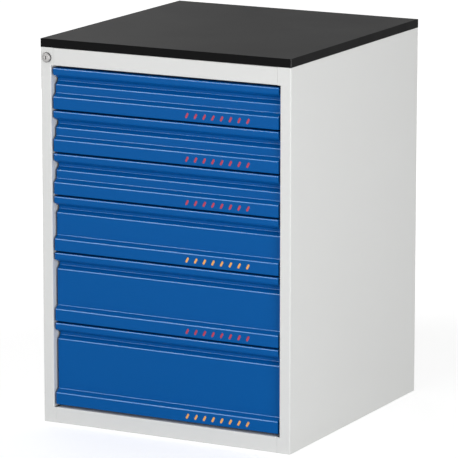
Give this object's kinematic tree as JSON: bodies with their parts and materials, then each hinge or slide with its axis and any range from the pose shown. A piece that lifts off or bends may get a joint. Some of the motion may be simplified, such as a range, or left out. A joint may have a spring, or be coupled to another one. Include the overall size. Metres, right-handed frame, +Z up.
{
  "type": "multi-drawer cabinet",
  "caption": "Workshop cabinet: folded sheet-steel housing, black worktop, blue full-extension drawers with folded grip lips and coloured marks, and a cylinder lock that bars the drawers.",
  "frame": {"origin": "centre of the cabinet's base, on the floor", "axes": "+Z up, the drawers open towards -Y, +X to the right as seen from the front"},
  "size_m": [0.58, 0.605, 0.816],
  "materials": {
    "housing_paint": "light grey powder coat, fine orange peel",
    "front_paint": "gentian blue powder coat, satin",
    "tray_paint": "light grey powder coat, matt",
    "worktop_laminate": "particle board under a fine black laminate",
    "edging_plastic": "black edging strip, satin",
    "zinc_steel": "zinc-plated steel",
    "cage_steel": "zinc-plated steel with bearing balls",
    "lock_nickel": "nickel-plated, polished",
    "guide_plastic": "black moulded plastic",
    "mark_red": "red moulded plastic",
    "mark_orange": "orange moulded plastic"
  },
  "bodies": {
    "housing": {"left_side_panel": "housing_paint", "right_side_panel": "housing_paint", "top_front_rail": "housing_paint", "bottom_front_rail": "housing_paint", "rear_panel": "housing_paint", "base_panel": "housing_paint", "top_panel": "housing_paint", "worktop": "worktop_laminate", "worktop_edging": "edging_plastic", "worktop_screws": "zinc_steel", "runner_posts": "housing_paint", "cabinet_rails": "zinc_steel", "lock_case": "lock_nickel", "lock_nut": "zinc_steel", "lock_bar_guides": "guide_plastic"},
    "lock_barrel": {"lock_barrel": "lock_nickel", "lock_cam": "zinc_steel"},
    "lock_bar": {"lock_bar": "zinc_steel"},
    "drawer_1": {"drawer_1_front": "front_paint", "drawer_1_tray": "tray_paint", "drawer_1_mark_strip": "mark_red", "drawer_1_lock_catch": "zinc_steel", "drawer_1_tray_rails": "zinc_steel"},
    "drawer_1_runners": {"drawer_1_middle_rails": "zinc_steel", "drawer_1_ball_cages": "cage_steel"},
    "drawer_2": {"drawer_2_front": "front_paint", "drawer_2_tray": "tray_paint", "drawer_2_mark_strip": "mark_red", "drawer_2_lock_catch": "zinc_steel", "drawer_2_tray_rails": "zinc_steel"},
    "drawer_2_runners": {"drawer_2_middle_rails": "zinc_steel", "drawer_2_ball_cages": "cage_steel"},
    "drawer_3": {"drawer_3_front": "front_paint", "drawer_3_tray": "tray_paint", "drawer_3_mark_strip": "mark_red", "drawer_3_lock_catch": "zinc_steel", "drawer_3_tray_rails": "zinc_steel"},
    "drawer_3_runners": {"drawer_3_middle_rails": "zinc_steel", "drawer_3_ball_cages": "cage_steel"},
    "drawer_4": {"drawer_4_front": "front_paint", "drawer_4_tray": "tray_paint", "drawer_4_mark_strip": "mark_orange", "drawer_4_lock_catch": "zinc_steel", "drawer_4_tray_rails": "zinc_steel"},
    "drawer_4_runners": {"drawer_4_middle_rails": "zinc_steel", "drawer_4_ball_cages": "cage_steel"},
    "drawer_5": {"drawer_5_front": "front_paint", "drawer_5_tray": "tray_paint", "drawer_5_mark_strip": "mark_red", "drawer_5_lock_catch": "zinc_steel", "drawer_5_tray_rails": "zinc_steel"},
    "drawer_5_runners": {"drawer_5_middle_rails": "zinc_steel", "drawer_5_ball_cages": "cage_steel"},
    "drawer_6": {"drawer_6_front": "front_paint", "drawer_6_tray": "tray_paint", "drawer_6_mark_strip": "mark_orange", "drawer_6_lock_catch": "zinc_steel", "drawer_6_tray_rails": "zinc_steel"},
    "drawer_6_runners": {"drawer_6_middle_rails": "zinc_steel", "drawer_6_ball_cages": "cage_steel"}
  },
  "joints": [
    {"name": "lock_bar_lift", "type": "slide", "parent": "housing", "child": "lock_bar", "axis": [0, 0, 1], "range_m": [0, 0.01]},
    {"name": "lock_turn", "type": "hinge", "parent": "housing", "child": "lock_barrel", "pos_m": [-0.27483, -0.3, 0.777], "axis": [0, 1, 0], "range_deg": [0, 90]},
    {"name": "drawer_1_slide", "type": "slide", "parent": "housing", "child": "drawer_1", "axis": [0, -1, 0], "range_m": [0, 0.5]},
    {"name": "drawer_1_runner_slide", "type": "slide", "parent": "housing", "child": "drawer_1_runners", "axis": [0, -1, 0], "range_m": [0, 0.25]},
    {"name": "drawer_2_slide", "type": "slide", "parent": "housing", "child": "drawer_2", "axis": [0, -1, 0], "range_m": [0, 0.5]},
    {"name": "drawer_2_runner_slide", "type": "slide", "parent": "housing", "child": "drawer_2_runners", "axis": [0, -1, 0], "range_m": [0, 0.25]},
    {"name": "drawer_3_slide", "type": "slide", "parent": "housing", "child": "drawer_3", "axis": [0, -1, 0], "range_m": [0, 0.5]},
    {"name": "drawer_3_runner_slide", "type": "slide", "parent": "housing", "child": "drawer_3_runners", "axis": [0, -1, 0], "range_m": [0, 0.25]},
    {"name": "drawer_4_slide", "type": "slide", "parent": "housing", "child": "drawer_4", "axis": [0, -1, 0], "range_m": [0, 0.5]},
    {"name": "drawer_4_runner_slide", "type": "slide", "parent": "housing", "child": "drawer_4_runners", "axis": [0, -1, 0], "range_m": [0, 0.25]},
    {"name": "drawer_5_slide", "type": "slide", "parent": "housing", "child": "drawer_5", "axis": [0, -1, 0], "range_m": [0, 0.5]},
    {"name": "drawer_5_runner_slide", "type": "slide", "parent": "housing", "child": "drawer_5_runners", "axis": [0, -1, 0], "range_m": [0, 0.25]},
    {"name": "drawer_6_slide", "type": "slide", "parent": "housing", "child": "drawer_6", "axis": [0, -1, 0], "range_m": [0, 0.5]},
    {"name": "drawer_6_runner_slide", "type": "slide", "parent": "housing", "child": "drawer_6_runners", "axis": [0, -1, 0], "range_m": [0, 0.25]}
  ],
  "couplings": [
    {"joint": "lock_turn", "follows": "lock_bar_lift", "rad_per_m": 157.07},
    {"joint": "drawer_1_runner_slide", "follows": "drawer_1_slide", "ratio": 0.5},
    {"joint": "drawer_2_runner_slide", "follows": "drawer_2_slide", "ratio": 0.5},
    {"joint": "drawer_3_runner_slide", "follows": "drawer_3_slide", "ratio": 0.5},
    {"joint": "drawer_4_runner_slide", "follows": "drawer_4_slide", "ratio": 0.5},
    {"joint": "drawer_5_runner_slide", "follows": "drawer_5_slide", "ratio": 0.5},
    {"joint": "drawer_6_runner_slide", "follows": "drawer_6_slide", "ratio": 0.5}
  ]
}
